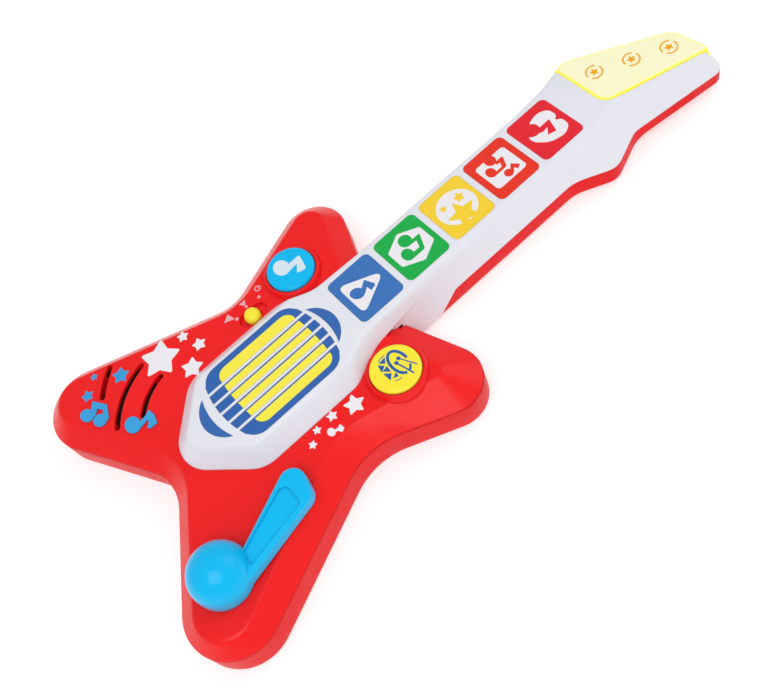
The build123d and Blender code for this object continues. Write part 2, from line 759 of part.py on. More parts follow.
# ---------------------------------------------------------------- speaker
def speaker_frame():
    """Pressed steel basket with a flat rim."""
    x, y = SPEAKER_X, SPEAKER_Y
    rim = tube(x, y, SPEAKER_R, SPEAKER_R - 2.2, 23.2, 24.6)
    bowl = cone(x, y, 9.5, SPEAKER_R - 1.6, 15.0, 23.8) - cone(x, y, 8.3, SPEAKER_R - 2.8, 14.9, 23.9)
    floor = tube(x, y, 9.7, 4.2, 14.6, 15.6)
    frame = rim + bowl + floor
    for angle in (45, 135, 225, 315):
        vent = Pos(x, y, 19.4) * Rot(0, 0, angle) * Pos(13.5, 0, 0) * Box(9, 7, 3.6)
        frame -= vent
    return frame


def speaker_magnet():
    """Ferrite ring magnet with its back plate."""
    return cylinder(SPEAKER_X, SPEAKER_Y, 10.0, 8.6, 14.6)


def speaker_cone():
    """Paper cone with a round dust cap."""
    x, y = SPEAKER_X, SPEAKER_Y
    shell = cone(x, y, 4.6, SPEAKER_R - 2.9, 16.6, 24.0) - cone(x, y, 4.0, SPEAKER_R - 3.5, 16.5, 24.1)
    return shell + cylinder(x, y, 6.6, 17.6, 18.2)


def speaker_mesh():
    """Thin dust cloth on the rim, below the sound slots."""
    return cylinder(SPEAKER_X, SPEAKER_Y, SPEAKER_R - 0.4, 24.6, 25.0)


def speaker_clamp():
    """Two plastic lugs screwed down behind the rim, with their pillars."""
    lugs = []
    for angle in (60, 240):
        dx, dy = cos(radians(angle)), sin(radians(angle))
        x, y = SPEAKER_X + 23.4 * dx, SPEAKER_Y + 23.4 * dy
        pillar = cylinder(x, y, 2.8, FLOOR, 23.0)
        pad = Pos(SPEAKER_X + 20.6 * dx, SPEAKER_Y + 20.6 * dy, 22.6) * Rot(0, 0, angle) * Box(5.0, 5.0, 1.2)
        lugs.append(pillar + pad)
    return group(lugs)


# ---------------------------------------------------------------- electronics
BOARD_POSTS = [(30, 56), (-30, 56), (30, -46), (-30, -52)]


def main_board():
    """Main circuit board below the plate, the buttons and the slide switch."""
    centre = Pos(0, 3) * Rectangle(66, 118)
    wings = Pos(0, 46) * RectangleRounded(124, 32, 3)
    tongue = Pos(-42, 15) * Rectangle(20, 32)
    sketch = centre + wings + tongue
    return prism(sketch, BOARD_Z, BOARD_Z + BOARD_T)


def board_parts():
    """Sound chip, capacitors, coil and connectors on the main board."""
    top = BOARD_Z + BOARD_T
    parts = [
        block(-8, 8, 8, 24, top, top + 1.4),
        block(14, 22, 14, 20, top, top + 1.6),
        block(-24, -16, -8, -2, top, top + 1.6),
        cylinder(20, -8, 3.2, top, top + 7.5),
        cylinder(20, -18, 3.2, top, top + 7.5),
        cylinder(-20, 10, 2.5, top, top + 6.0),
        block(-9, 9, 53.5, 59.5, top, top + 5.0),
        block(-26, -16, -50, -44, top, top + 5.0),
        block(14, 24, -50, -44, top, top + 5.0),
    ]
    for k in range(6):
        parts.append(block(-12 + 4 * k, -10.4 + 4 * k, -30, -27, top, top + 0.8))
    return group(parts)


def touch_board():
    """Long board with the touch electrodes, behind the fret pads."""
    y0, y1 = pad_y(0) - 17, pad_y(4) + 12
    board = block(-17, 17, y0, y1, TOP_Z - WALL - 1.2, TOP_Z - WALL)
    for x, y in NECK_SCREWS:
        board -= cylinder(x, y, POST_R, 30, 45)
    return board


def neck_cable():
    """Flat ribbon cable from the main board through the neck to the head."""
    profile = [(62, 25.0), (64, 25.0), (80, 31.0), (246, 31.0), (252, 27.4), (252, 26.8), (245.8, 30.4)]
    profile += [(80.2, 30.4), (64.2, 24.4), (62, 24.4)]
    return side_prism(profile, 6.0, 14.0)


def head_light_board():
    """Board with the lights below the head lens."""
    corners = [(9.0, 252.0, 2), (22.0, 296.0, 3), (8.0, 296.0, 3), (-14.0, 252.0, 2)]
    return prism(outline(list(reversed(corners))), 25.0, 26.6)


LIGHT_SPOTS = [(-4.0, 257.5), (4.0, 275.5), (13.5, 291.0)]


def head_lights():
    """Three clear light-emitting diodes."""
    lights = []
    for x, y in LIGHT_SPOTS:
        body = cylinder(x, y, 2.4, 26.6, 31.0) + Pos(x, y, 31.0) * Sphere(2.4)
        lights.append(body + cylinder(x, y, 2.9, 26.6, 27.6))
    return group(lights)


def head_reflector():
    """White tray that spreads the light under the lens."""
    low = inset_corners(NECK_TOP, neck_sides(5.5, 0))
    area = prism(outline(low), 28.6, 29.8) & block(-60, 40, 253.5, 330, 20, 40)
    for x, y in LIGHT_SPOTS:
        area -= cylinder(x, y, 3.2, 20, 40)
    x, y = HEAD_SCREW
    return area - cylinder(x, y, POST_R, 20, 40)


def head_board_posts():
    """Pillars of the rear shell below the light board."""
    spots = [(2.0, 257.0), (11.0, 288.0)]
    return [cylinder(x, y, 2.4, HEAD_BACK_Z + 0.5, 25.0) for x, y in spots]


# ---------------------------------------------------------------- battery bay
def cell_y(index):
    """Centre line of one cell."""
    return BATTERY_Y + (index - 1) * CELL_PITCH


CELL_Z = FLOOR + 0.4 + CELL_R


def battery_box():
    """Tray that opens to the back and holds the cells."""
    top = CELL_Z + CELL_R + 2.0
    box = block(-33.6, 33.6, -36.6, 16.6, FLOOR, top)
    box -= block(-32, 32, -35, 15, 0, top - 1.6)
    for k in (0.5, 1.5):
        y = cell_y(k)
        box += block(-22, 22, y - 0.4, y + 0.4, top - 5, top - 1)
    x, y = DOOR_SCREW
    box += block(x - 5.5, x + 5.5, 15.5, y + 5.5, DOOR_LUG_TOP + 0.3, top)
    box -= block(x - 5, x + 5, 14, y + 6, 0, DOOR_LUG_TOP + 0.3)
    box -= cylinder(x, y, DOOR_THREAD_R, 0, top - 1.6)
    for x in DOOR_TABS:
        box -= block(x - 5, x + 5, -40, -34, 0, 6.5)
    return box


def battery_cells():
    """Three size AA cells, alternately turned."""
    cells = []
    for k in range(CELL_COUNT):
        can = Pos(0, cell_y(k), CELL_Z) * Rot(0, 90, 0) * Cylinder(CELL_R, CELL_LENGTH)
        can = soften(can, can.edges(), [0.8, 0.5])
        side = -1 if k == 1 else 1
        nub = Pos(side * (CELL_LENGTH / 2 + 0.5), cell_y(k), CELL_Z) * Rot(0, 90, 0) * Cylinder(2.6, 1.4)
        cells.append(can + nub)
    return group(cells)


def battery_contacts():
    """Plate at each positive end and conical spring at each negative end."""
    contacts = []
    for k in range(CELL_COUNT):
        side = -1 if k == 1 else 1
        x = side * 31.5
        plate_x = sorted([x, x - side * 0.4])
        spring_x = sorted([-x, -x + side * 0.4])
        y = cell_y(k)
        contacts.append(block(*plate_x, y - 5, y + 5, 4, 15))
        contacts.append(block(*spring_x, y - 5, y + 5, 4, 15))
        bump = sorted([side * (CELL_LENGTH / 2 + 1.2), x - side * 0.4])
        contacts.append(
            Pos((bump[0] + bump[1]) / 2, y, CELL_Z) * Rot(0, 90, 0) * Cylinder(2.2, bump[1] - bump[0])
        )
        contacts.append(cell_spring(-side, y))
    return group(contacts)


def cell_spring(side, y):
    """Conical wire spring pressing on a negative end."""
    length = 31.1 - CELL_LENGTH / 2 - 1.0
    path = Helix(pitch=length / 4, height=length, radius=4.4, cone_angle=8)
    ring = Plane(origin=path @ 0, z_dir=path % 0) * Circle(0.4)
    wire = sweep(ring, path=path)
    turned = Rot(0, 90 if side < 0 else -90, 0) * wire
    return Pos(side * (31.1 - 0.5), y, CELL_Z) * turned


def battery_door():
    """Red door flush with the back: it tilts out on its round edge, held by two tabs and a screw."""
    x0, x1, y0, y1 = DOOR
    roll = DOOR_T / 2
    roll_y = y0 + DOOR_GAP + roll
    door = block(x0 + DOOR_GAP, x1 - DOOR_GAP, roll_y, y1 - DOOR_GAP, 0.0, DOOR_T)
    corners = [e for e in door.edges() if e.bounding_box().size.Z > 1 and e.center().Y > 0]
    door = soften(door, corners, [3.0])
    door += Pos(0, roll_y, roll) * Rot(0, 90, 0) * Cylinder(roll, x1 - x0 - 2 * DOOR_GAP)
    for x in DOOR_TABS:
        door += block(x - 4, x + 4, y0 - 2.0, y0 + 2.0, FLOOR + 0.3, FLOOR + 1.5)
        door += block(x - 4, x + 4, y0 + 0.8, y0 + 2.0, DOOR_T - 0.4, FLOOR + 0.4)
    x, y = DOOR_SCREW
    half = DOOR_LUG - DOOR_GAP
    door += block(x - half, x + half, y1 - 2, y + half, 0.0, DOOR_T)
    door += cylinder(x, y, half, DOOR_T - 0.2, DOOR_LUG_TOP)
    door -= cylinder(x, y, SCREW_R + 0.15, -1, 8)
    return door - cylinder(x, y, SCREW_HEAD_R + 0.2, -1, 2.2)


def door_screw():
    """Captive screw of the battery door."""
    x, y = DOOR_SCREW
    return cross_screw(x, y, 0.5, 1.7, DOOR_SCREW_TIP_Z)


# ---------------------------------------------------------------- fasteners
def cross_screw(x, y, z_head, head_height, z_tip):
    """Self-tapping screw with a cross recess, driven upwards from the back."""
    head = cylinder(x, y, SCREW_HEAD_R - 0.1, z_head, z_head + head_height)
    body = head + cylinder(x, y, SCREW_R, z_head, z_tip)
    for angle in (0, 90):
        body -= Pos(x, y, z_head) * Rot(0, 0, angle) * Box(3.6, 0.8, 1.6)
    return body


def shell_screws():
    """Screws that hold the front shell and the neck cover to the rear shell."""
    screws = [cross_screw(x, y, SCREW_WELL_Z - 2.0, 2.0, SCREW_TIP_Z) for x, y in BODY_SCREWS]
    screws += [cross_screw(x, y, SCREW_WELL_Z - 2.0, 2.0, SCREW_TIP_Z) for x, y in NECK_SCREWS]
    x, y = HEAD_SCREW
    screws.append(cross_screw(x, y, SCREW_WELL_Z - 2.0 + HEAD_SCREW_LIFT, 2.0, 23.0))
    return group(screws)


# ---------------------------------------------------------------- assembly
def model():
    """Every node by name."""
    nodes = {
        "rear_shell": rear_shell(),
        "front_shell": front_shell(),
        "neck_cover": neck_cover(),
        "head_lens": head_lens(),
        "pickup_frame": pickup_frame(),
        "pickup_panels": pickup_panels(),
        "pickup_crescents": pickup_crescents(),
        "raised_notes": raised_notes(),
        "button_blue": button_cap(-BUTTON_X),
        "button_yellow": button_cap(BUTTON_X),
        "rubber_dome_blue": rubber_dome(-BUTTON_X),
        "rubber_dome_yellow": rubber_dome(BUTTON_X),
        "volume_knob": volume_knob(),
        "switch_lever": switch_lever(),
        "switch_body": switch_body(),
        "whammy_bar": whammy_bar(),
        "whammy_lever": whammy_lever(),
        "whammy_screw": whammy_screw(),
        "whammy_spring": whammy_spring(),
        "whammy_contact": whammy_contact(),
        "speaker_frame": speaker_frame(),
        "speaker_magnet": speaker_magnet(),
        "speaker_cone": speaker_cone(),
        "speaker_mesh": speaker_mesh(),
        "speaker_clamp": speaker_clamp(),
        "main_board": main_board(),
        "board_parts": board_parts(),
        "touch_board": touch_board(),
        "neck_cable": neck_cable(),
        "head_light_board": head_light_board(),
        "head_lights": head_lights(),
        "head_reflector": head_reflector(),
        "battery_box": battery_box(),
        "battery_cells": battery_cells(),
        "battery_contacts": battery_contacts(),
        "battery_door": battery_door(),
        "door_screw": door_screw(),
        "shell_screws": shell_screws(),
    }
    for index, colour in enumerate(PAD_NAMES):
        nodes["fret_pad_" + colour] = fret_pad(index)
    return nodes


os.makedirs("parts", exist_ok=True)
for name, shape in model().items():
    export_step(shape, f"parts/{name}.step")
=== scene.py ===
import math

import bmesh
import bpy
from mathutils import Matrix, Vector


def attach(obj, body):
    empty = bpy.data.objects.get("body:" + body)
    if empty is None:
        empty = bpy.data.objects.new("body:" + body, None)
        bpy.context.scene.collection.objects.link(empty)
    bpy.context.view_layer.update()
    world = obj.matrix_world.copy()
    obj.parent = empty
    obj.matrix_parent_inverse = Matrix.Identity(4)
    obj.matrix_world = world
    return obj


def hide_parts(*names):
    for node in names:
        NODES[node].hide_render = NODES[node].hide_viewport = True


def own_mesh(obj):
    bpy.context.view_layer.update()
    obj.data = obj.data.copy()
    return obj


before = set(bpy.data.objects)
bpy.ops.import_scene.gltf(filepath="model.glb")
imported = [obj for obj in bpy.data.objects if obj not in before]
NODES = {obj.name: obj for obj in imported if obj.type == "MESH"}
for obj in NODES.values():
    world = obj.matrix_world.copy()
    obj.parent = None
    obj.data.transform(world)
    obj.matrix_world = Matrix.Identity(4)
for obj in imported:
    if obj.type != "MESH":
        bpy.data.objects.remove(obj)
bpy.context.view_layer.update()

MM = 0.001
scene = bpy.context.scene

# ---------------------------------------------------------------- heights and places, in millimetres
FACE_Z = 31.5  # flat red face
TOP_Z = 42.0  # white plate, pads and head
CAP_Z = 37.0  # round buttons
FILM = 0.05  # thickness of a printed film
FILM_ROOT = 0.05  # how far a film reaches into the surface under it
FILM_STEP = 0.012  # keeps overlapping shapes of one print apart
FILM_OVER = 0.03  # lifts a print that lies on another print
PAD_PITCH = 35.2
MIDDLE_PAD_Y = 138.3
BUTTON_X = 48.0
BUTTON_Y = 47.25
STRING_PITCH = 7.25
STRING_ENDS = (-27.0, 28.6)
LENS_MARKS = ((-7.0, 256.9), (3.5, 276.9), (14.4, 296.5))

# ---------------------------------------------------------------- surfaces and view
SMOOTH_ANGLE = math.radians(28)  # edges sharper than this stay crisp
WELD_GAP = 0.000002  # metres
FLOOR_HALF = 6.0  # metres
FLOOR_DROP = 0.0004  # metres below the toy's back
FOCAL_LENGTH = 48.65  # on a sensor 36 mm wide
CAMERA_PLACE = (0.3093, -0.0310, 0.5184)  # metres
CAMERA_RIGHT = (0.6321, 0.7368, -0.2399)
CAMERA_UP = (-0.5966, 0.6603, 0.4561)

# ---------------------------------------------------------------- colours, linear
RED = (0.80, 0.010, 0.013)
RED_FACE = (0.90, 0.008, 0.009)
WHITE = (0.79, 0.80, 0.87)
SKY = (0.0, 0.50, 0.90)
SUN = (1.0, 0.84, 0.035)
INK_WHITE = (0.88, 0.86, 0.90)
PAD_COLOURS = {
    "blue": (0.045, 0.175, 0.51),
    "green": (0.008, 0.44, 0.07),
    "yellow": (0.95, 0.66, 0.035),
    "orange": (0.84, 0.035, 0.015),
    "crimson": (0.82, 0.016, 0.03),
}


# ---------------------------------------------------------------- material helpers
class Graph:
    """A node tree with short ways to add nodes and links."""

    def __init__(self, name):
        self.material = bpy.data.materials.new(name)
        self.material.use_nodes = True
        self.tree = self.material.node_tree
        self.tree.nodes.clear()
        self.output = self.tree.nodes.new("ShaderNodeOutputMaterial")
        self.shader = self.tree.nodes.new("ShaderNodeBsdfPrincipled")
        self.link(self.shader.outputs[0], self.output.inputs["Surface"])
        self.place = self.tree.nodes.new("ShaderNodeTexCoord").outputs["Object"]

    def link(self, a, b):
        self.tree.links.new(a, b)

    def put(self, socket, value):
        """Links a socket or sets a constant."""
        if isinstance(value, bpy.types.NodeSocket):
            self.link(value, socket)
        else:
            socket.default_value = value

    def noise(self, scale, detail=3.0, rough=0.55, stretch=None):
        """Noise over the object, with scale in cycles per metre."""
        node = self.tree.nodes.new("ShaderNodeTexNoise")
        node.inputs["Scale"].default_value = scale
        node.inputs["Detail"].default_value = detail
        node.inputs["Roughness"].default_value = rough
        place = self.place
        if stretch:
            mapping = self.tree.nodes.new("ShaderNodeMapping")
            mapping.inputs["Scale"].default_value = stretch
            self.link(place, mapping.inputs["Vector"])
            place = mapping.outputs[0]
        self.link(place, node.inputs["Vector"])
        return node.outputs["Fac"]

    def ramp(self, value, low, high, to_low=0.0, to_high=1.0):
        """Linear map with clamping."""
        node = self.tree.nodes.new("ShaderNodeMapRange")
        self.put(node.inputs["Value"], value)
        node.inputs["From Min"].default_value = low
        node.inputs["From Max"].default_value = high
        node.inputs["To Min"].default_value = to_low
        node.inputs["To Max"].default_value = to_high
        return node.outputs["Result"]

    def math(self, kind, a, b=0.0):
        node = self.tree.nodes.new("ShaderNodeMath")
        node.operation = kind
        self.put(node.inputs[0], a)
        self.put(node.inputs[1], b)
        return node.outputs[0]

    def mix(self, factor, a, b):
        """Colour between a and b."""
        node = self.tree.nodes.new("ShaderNodeMix")
        node.data_type = "RGBA"
        self.put(node.inputs[0], factor)
        for socket, value in ((node.inputs[6], a), (node.inputs[7], b)):
            if not isinstance(value, bpy.types.NodeSocket):
                value = (*value[:3], 1.0)
            self.put(socket, value)
        return node.outputs[2]

    def bump(self, height, distance, strength=1.0, normal=None):
        """Surface relief, distance in metres."""
        node = self.tree.nodes.new("ShaderNodeBump")
        node.inputs["Strength"].default_value = strength
        node.inputs["Distance"].default_value = distance
        self.link(height, node.inputs["Height"])
        if normal:
            self.link(normal, node.inputs["Normal"])
        return node.outputs[0]

    def soft_edge(self, radius):
        """Normal that rounds sharp edges by radius metres."""
        node = self.tree.nodes.new("ShaderNodeBevel")
        node.samples = 6
        node.inputs["Radius"].default_value = radius
        return node.outputs[0]

    def hollow(self, distance):
        """1 in the open, lower in seams and corners."""
        node = self.tree.nodes.new("ShaderNodeAmbientOcclusion")
        node.samples = 6
        node.inputs["Distance"].default_value = distance
        return node.outputs["AO"]

    def set(self, **values):
        for name, value in values.items():
            self.put(self.shader.inputs[name.replace("_", " ")], value)


def shade(colour, factor):
    return tuple(min(1.0, c * factor) for c in colour[:3])


def plastic(
    name, colour, rough=0.3, coat=0.1, grain=0.000012, edge=0.0005, crease_shade_reach=0.002, variation=0.05, shine=0.35
):
    """Moulded plastic: fine orange-peel, slow flow shading, softened edges and painted shade darkening
    seams and corners.
    """
    g = Graph(name)
    flow = g.noise(28, 2)
    tone = g.mix(g.ramp(flow, 0.3, 0.7), shade(colour, 1 - variation), shade(colour, 1 + variation))
    # painted shade: ambient occlusion darkens the colour in seams, creases and corners
    if crease_shade_reach:
        unshaded_share = g.ramp(g.hollow(crease_shade_reach), 0.35, 0.95, 0.62, 1.0)
        tone = g.mix(unshaded_share, shade(colour, 0.5), tone)
    smudge = g.ramp(g.noise(60, 4, 0.65), 0.35, 0.75, rough * 0.88, rough * 1.22)
    peel = g.noise(260, 2, 0.4)
    normal = g.soft_edge(edge)
    normal = g.bump(peel, grain, 0.6, normal)
    g.set(Base_Color=tone, Roughness=smudge, Normal=normal, IOR=1.52)
    g.set(Coat_Weight=coat, Coat_Roughness=0.12, Specular_IOR_Level=shine)
    return g.material


def ink(name, colour, rough=0.34, fade=0.05):
    """Printed ink with a faint screen grain and uneven density."""
    g = Graph(name)
    density = g.noise(900, 3, 0.6)
    cloud = g.noise(45, 2)
    tone = g.mix(g.ramp(density, 0.3, 0.7), shade(colour, 1 - fade), shade(colour, 1 + fade * 0.6))
    tone = g.mix(g.ramp(cloud, 0.3, 0.75, 0.0, 0.25), tone, shade(colour, 0.93))
    g.set(Base_Color=tone, Roughness=g.ramp(density, 0.3, 0.7, rough - 0.04, rough + 0.06))
    g.set(Normal=g.bump(density, 0.000006, 0.5), Specular_IOR_Level=0.25)
    return g.material


def metal(name, colour, rough):
    """Plated metal with fine lines along Z and faint stains."""
    g = Graph(name)
    lines = g.noise(700, 3, 0.6, (1.0, 1.0, 12.0))
    stain = g.noise(90, 4, 0.6)
    tone = g.mix(g.ramp(stain, 0.4, 0.75), colour, shade(colour, 0.72))
    g.set(Base_Color=tone, Metallic=1.0, Roughness=g.ramp(lines, 0.3, 0.7, rough - 0.08, rough + 0.12))
    g.set(Normal=g.bump(lines, 0.00001, 0.4, g.soft_edge(0.00015)))
    return g.material


def paint(node, material):
    """Gives a CAD node its material and smooth shading between its facets."""
    obj = NODES[node]
    obj.data.materials.clear()
    obj.data.materials.append(material)
    for polygon in obj.data.polygons:
        polygon.material_index = 0
        polygon.use_smooth = True
    weld = obj.modifiers.new("weld", "WELD")
    weld.merge_threshold = WELD_GAP
    split = obj.modifiers.new("split", "EDGE_SPLIT")
    split.split_angle = SMOOTH_ANGLE


# ---------------------------------------------------------------- flat shapes for the prints
def polar(cx, cy, radius, angle):
    return (cx + radius * math.cos(math.radians(angle)), cy + radius * math.sin(math.radians(angle)))


def oval(cx, cy, a, b=None, turn=0.0, steps=48):
    b = a if b is None else b
    t = math.radians(turn)
    points = []
    for i in range(steps):
        u = 2 * math.pi * i / steps
        x, y = a * math.cos(u), b * math.sin(u)
        points.append((cx + x * math.cos(t) - y * math.sin(t), cy + x * math.sin(t) + y * math.cos(t)))
    return points


def rounded(points, radius, steps=6):
    """Polygon whose corners are rounded by up to radius."""
    result = []
    count = len(points)
    for i in range(count):
        p = Vector(points[i])
        before = Vector(points[i - 1]) - p
        after = Vector(points[(i + 1) % count]) - p
        half = before.angle(after) / 2
        reach = radius / max(math.tan(half), 0.05)
        reach = min(reach, before.length * 0.45, after.length * 0.45)
        a = p + before.normalized() * reach
        b = p + after.normalized() * reach
        for k in range(steps + 1):
            t = k / steps
            q = a * (1 - t) ** 2 + p * 2 * t * (1 - t) + b * t**2
            result.append((q.x, q.y))
    return result


def star(cx, cy, radius, tip=90.0, inner=0.52, soft=0.1):
    points = []
    for i in range(10):
        r = radius if i % 2 == 0 else radius * inner
        points.append(polar(cx, cy, r, tip + 36 * i))
    return rounded(points, radius * soft)


def shifted(points, dx, dy):
    return [(x + dx, y + dy) for x, y in points]


def stroke(points, width):
    """Outline of a line of given width through points."""
    left, right = [], []
    for i, p in enumerate(points):
        a = Vector(points[max(i - 1, 0)])
        b = Vector(points[min(i + 1, len(points) - 1)])
        along = (b - a).normalized()
        side = Vector((-along.y, along.x)) * width / 2
        left.append((p[0] + side.x, p[1] + side.y))
        right.append((p[0] - side.x, p[1] - side.y))
    return left + right[::-1]


def arc(cx, cy, radius, start, end, width, steps=24, squeeze=1.0):
    """Part of a ring."""
    points = []
    for i in range(steps + 1):
        x, y = polar(0, 0, radius, start + (end - start) * i / steps)
        points.append((cx + x, cy + y * squeeze))
    return stroke(points, width)


def film(name, shapes, z, material, body, lift=0.0):
    """Printed shapes as thin films at height z, each one with its own small rim."""
    mesh = bpy.data.meshes.new(name)
    bm = bmesh.new()
    for index, points in enumerate(shapes):
        top = z + FILM + lift + FILM_STEP * (index % 3)
        upper = [bm.verts.new((x * MM, y * MM, top * MM)) for x, y in points]
        lower = [bm.verts.new((x * MM, y * MM, (z - FILM_ROOT) * MM)) for x, y in points]
        area = sum(
            points[i - 1][0] * points[i][1] - points[i][0] * points[i - 1][1] for i in range(len(points))
        )
        face = bm.faces.new(upper if area > 0 else upper[::-1])
        face.normal_update()
        for i in range(len(points)):
            a, b, c, d = upper[i - 1], upper[i], lower[i], lower[i - 1]
            bm.faces.new((d, c, b, a) if area > 0 else (a, b, c, d))
        bmesh.ops.triangulate(bm, faces=[face])
    bm.to_mesh(mesh)
    bm.free()
    mesh.materials.append(material)
    obj = bpy.data.objects.new(name, mesh)
    scene.collection.objects.link(obj)
    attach(obj, body)


# ---------------------------------------------------------------- plastics of the shells
red_rear = plastic("red_rear", RED, rough=0.4, coat=0.0, shine=0.08)
red_front = plastic(
    "red_front", RED_FACE, rough=0.3, coat=0.05, shine=0.22, grain=0.000006, edge=0.0009, variation=0.02
)
white = plastic("white_cover", WHITE, rough=0.33, edge=0.0006, crease_shade_reach=0.0007, variation=0.012)
sky = plastic("sky_plastic", SKY, rough=0.24, coat=0.2, shine=0.12, edge=0.0008, variation=0.03)
sun = plastic("sun_plastic", SUN, rough=0.3, shine=0.3, edge=0.0006, variation=0.02)
black = plastic("black_plastic", (0.02, 0.02, 0.022), rough=0.45, coat=0.0, edge=0.0002)
inner_white = plastic("inner_white", (0.82, 0.81, 0.78), rough=0.5, coat=0.0, edge=0.0003)
rubber = plastic("silicone", (0.62, 0.61, 0.58), rough=0.6, coat=0.0, edge=0.0003, grain=0.00002)
vinyl = plastic("vinyl_ribbon", (0.3, 0.3, 0.33), rough=0.5, coat=0.0, edge=0.0001)
steel = metal("zinc_steel", (0.62, 0.62, 0.6), 0.3)
nickel = metal("nickel_wire", (0.72, 0.7, 0.66), 0.22)
ferrite = plastic("ferrite", (0.035, 0.035, 0.038), rough=0.7, coat=0.0, grain=0.00004)


def board_material():
    """Brown phenolic board with copper tracks and solder spots."""
    g = Graph("circuit_board")
    tracks = g.tree.nodes.new("ShaderNodeTexBrick")
    tracks.inputs["Scale"].default_value = 120
    tracks.inputs["Color1"].default_value = (0.28, 0.15, 0.05, 1)
    tracks.inputs["Color2"].default_value = (0.22, 0.12, 0.04, 1)
    tracks.inputs["Mortar"].default_value = (0.42, 0.27, 0.1, 1)
    tracks.inputs["Mortar Size"].default_value = 0.06
    g.link(g.place, tracks.inputs["Vector"])
    dots = g.tree.nodes.new("ShaderNodeTexVoronoi")
    dots.inputs["Scale"].default_value = 260
    g.link(g.place, dots.inputs["Vector"])
    solder = g.ramp(dots.outputs["Distance"], 0.16, 0.2, 1.0, 0.0)
    tone = g.mix(solder, tracks.outputs["Color"], (0.6, 0.6, 0.58))
    g.set(Base_Color=tone, Metallic=g.math("MULTIPLY", solder, 0.8), Roughness=0.42)
    g.set(Normal=g.bump(solder, 0.0001, 0.6))
    return g.material


def paper_material():
    """Coated speaker paper with a fine fibre grain."""
    g = Graph("speaker_paper")
    fibre = g.noise(1500, 4, 0.6)
    tone = g.mix(g.ramp(fibre, 0.35, 0.7), (0.02, 0.02, 0.02), (0.06, 0.055, 0.05))
    g.set(Base_Color=tone, Roughness=0.75, Normal=g.bump(fibre, 0.00005, 0.6))
    return g.material


def cloth_material():
    """Black open-weave dust cloth."""
    g = Graph("mesh_cloth")
    separate = g.tree.nodes.new("ShaderNodeSeparateXYZ")
    g.link(g.place, separate.inputs[0])
    pitch = 2 * math.pi / 0.0006
    warp = g.math("SINE", g.math("MULTIPLY", separate.outputs["X"], pitch))
    weft = g.math("SINE", g.math("MULTIPLY", separate.outputs["Y"], pitch))
    weave = g.math("MAXIMUM", warp, weft)
    tone = g.mix(g.ramp(weave, 0.0, 0.9), (0.003, 0.003, 0.003), (0.035, 0.03, 0.03))
    g.set(Base_Color=tone, Roughness=0.85, Normal=g.bump(weave, 0.00008, 0.7))
    return g.material


def cell_material():
    """Generic battery sleeve: dark with a copper-coloured end band."""
    g = Graph("cell_sleeve")
    separate = g.tree.nodes.new("ShaderNodeSeparateXYZ")
    g.link(g.place, separate.inputs[0])
    band = g.ramp(separate.outputs["X"], 0.011, 0.0115)
    grain = g.noise(300, 3)
    tone = g.mix(band, (0.02, 0.022, 0.025), (0.55, 0.28, 0.08))
    tone = g.mix(g.ramp(grain, 0.3, 0.8, 0.0, 0.15), tone, (0.3, 0.3, 0.3))
    g.set(Base_Color=tone, Metallic=0.5, Roughness=g.ramp(grain, 0.3, 0.7, 0.22, 0.34))
    return g.material


def clear_material():
    """Clear epoxy light."""
    g = Graph("clear_epoxy")
    haze = g.noise(200, 3)
    tone = g.mix(haze, (1.0, 0.93, 0.75), (1.0, 0.97, 0.88))
    g.set(Base_Color=tone, Roughness=g.ramp(haze, 0.3, 0.7, 0.05, 0.12), Transmission_Weight=0.85, IOR=1.5)
    return g.material


def lens_material():
    """Translucent pale-yellow cap with a painted glow: it emits light itself, deeper yellow and brighter
    along its edges.
    """
    g = Graph("lens_yellow")
    facing = g.tree.nodes.new("ShaderNodeSeparateXYZ")
    g.link(g.soft_edge(0.0024), facing.inputs[0])
    # painted glow: the edges turn deeper yellow and emit more light
    glow_edge = g.ramp(facing.outputs["Z"], 0.998, 0.88)
    cloud = g.noise(60, 2)
    pale = g.mix(g.ramp(cloud, 0.3, 0.7), (0.90, 0.88, 0.60), (0.92, 0.90, 0.66))
    tone = g.mix(glow_edge, pale, (0.95, 0.88, 0.03))
    g.set(Base_Color=tone, Roughness=g.ramp(cloud, 0.3, 0.7, 0.18, 0.26), IOR=1.5)
    g.set(Transmission_Weight=0.12, Coat_Weight=0.15, Coat_Roughness=0.1, Specular_IOR_Level=0.3)
    # painted glow: the cap emits light though it is no lamp
    g.set(Emission_Color=tone, Emission_Strength=g.ramp(glow_edge, 0.0, 1.0, 0.13, 0.18))
    g.set(Normal=g.bump(g.noise(380, 3), 0.00002, 0.4))
    return g.material


board = board_material()

finishes = {
    "rear_shell": red_rear,
    "front_shell": red_front,
    "neck_cover": white,
    "head_lens": lens_material(),
    "pickup_frame": ink("pickup_blue", (0.03, 0.13, 0.44)),
    "pickup_panels": ink("pickup_yellow", (0.97, 0.86, 0.07)),
    "pickup_crescents": ink("pickup_moons", (0.035, 0.14, 0.45)),
    "raised_notes": plastic("note_blue", (0.03, 0.36, 0.74), rough=0.32, coat=0.2, edge=0.0003),
    "button_blue": sky,
    "button_yellow": sun,
    "volume_knob": sun,
    "whammy_bar": sky,
    "rubber_dome_blue": rubber,
    "rubber_dome_yellow": rubber,
    "switch_lever": black,
    "switch_body": steel,
    "whammy_lever": black,
    "whammy_screw": steel,
    "whammy_spring": nickel,
    "whammy_contact": board,
    "speaker_frame": steel,
    "speaker_magnet": ferrite,
    "speaker_cone": paper_material(),
    "speaker_mesh": cloth_material(),
    "speaker_clamp": red_rear,
    "main_board": board,
    "board_parts": black,
    "touch_board": board,
    "neck_cable": vinyl,
    "head_light_board": board,
    "head_lights": clear_material(),
    "head_reflector": inner_white,
    "battery_box": black,
    "battery_cells": cell_material(),
    "battery_contacts": nickel,
    "battery_door": red_rear,
    "door_screw": steel,
    "shell_screws": steel,
}
for colour, value in PAD_COLOURS.items():
    finishes["fret_pad_" + colour] = ink("pad_" + colour, value, 0.3)
for node, material in finishes.items():
    paint(node, material)


